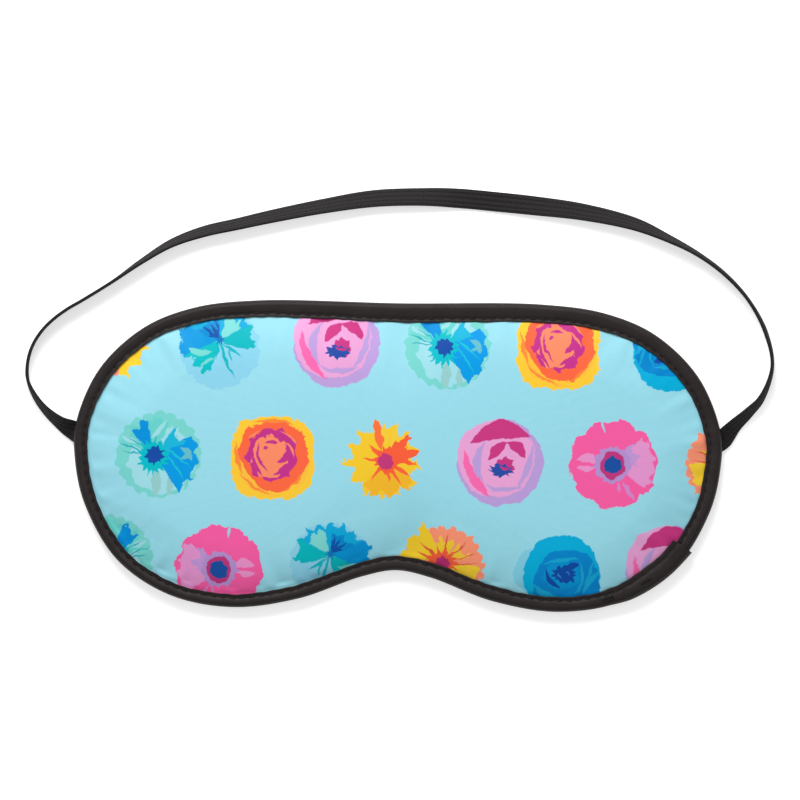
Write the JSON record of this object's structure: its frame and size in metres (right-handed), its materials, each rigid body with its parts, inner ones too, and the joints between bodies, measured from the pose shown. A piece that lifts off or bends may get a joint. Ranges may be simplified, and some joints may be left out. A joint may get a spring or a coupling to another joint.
{
  "type": "sleep mask",
  "caption": "Padded eye mask with a printed cloth front, dark lining, bound and stitched edge, nose notch and a narrow elastic head strap.",
  "frame": {"origin": "on the surface the mask lies on, under the middle of the mask's outline", "axes": "+X towards the mask's right side seen from the printed face, +Y from the nose notch to the brow, +Z out of the printed front"},
  "size_m": [0.2189, 0.1235, 0.0062],
  "materials": {
    "printed_satin": "printed polyester satin, soft sheen",
    "lining_satin": "black satin",
    "blackout_cloth": "matte black woven",
    "padding_foam": "matte open-cell foam",
    "binding_satin": "black-brown satin tape, soft sheen",
    "sewing_thread": "black polyester thread",
    "knitted_elastic": "matte ribbed knitted elastic"
  },
  "bodies": {
    "mask": {"back_lining": "lining_satin", "blackout_layer": "blackout_cloth", "foam_pad": "padding_foam", "printed_front": "printed_satin", "binding_tape": "binding_satin", "binding_lap": "binding_satin", "seam_needle_thread": "sewing_thread", "seam_bobbin_thread": "sewing_thread", "backtack_inner": "sewing_thread", "backtack_middle": "sewing_thread", "strap_end_left": "knitted_elastic", "strap_end_right": "knitted_elastic", "strap_bartack_left": "sewing_thread", "strap_bartack_right": "sewing_thread"},
    "strap": {"strap_left_run": "knitted_elastic", "strap_right_run": "knitted_elastic"},
    "strap_crown": {"strap_crown": "knitted_elastic"}
  },
  "joints": [
    {"name": "strap_swing", "type": "hinge", "parent": "mask", "child": "strap", "pos_m": [0, 0.006, 0.0011], "axis": [1, 0, 0], "range_deg": [-170, 170]},
    {"name": "strap_stretch", "type": "slide", "parent": "strap", "child": "strap_crown", "axis": [0, 1, 0], "range_m": [0, 0.05], "stiffness_N_per_m": 30, "deforming": ["strap_left_run", "strap_right_run"]}
  ]
}
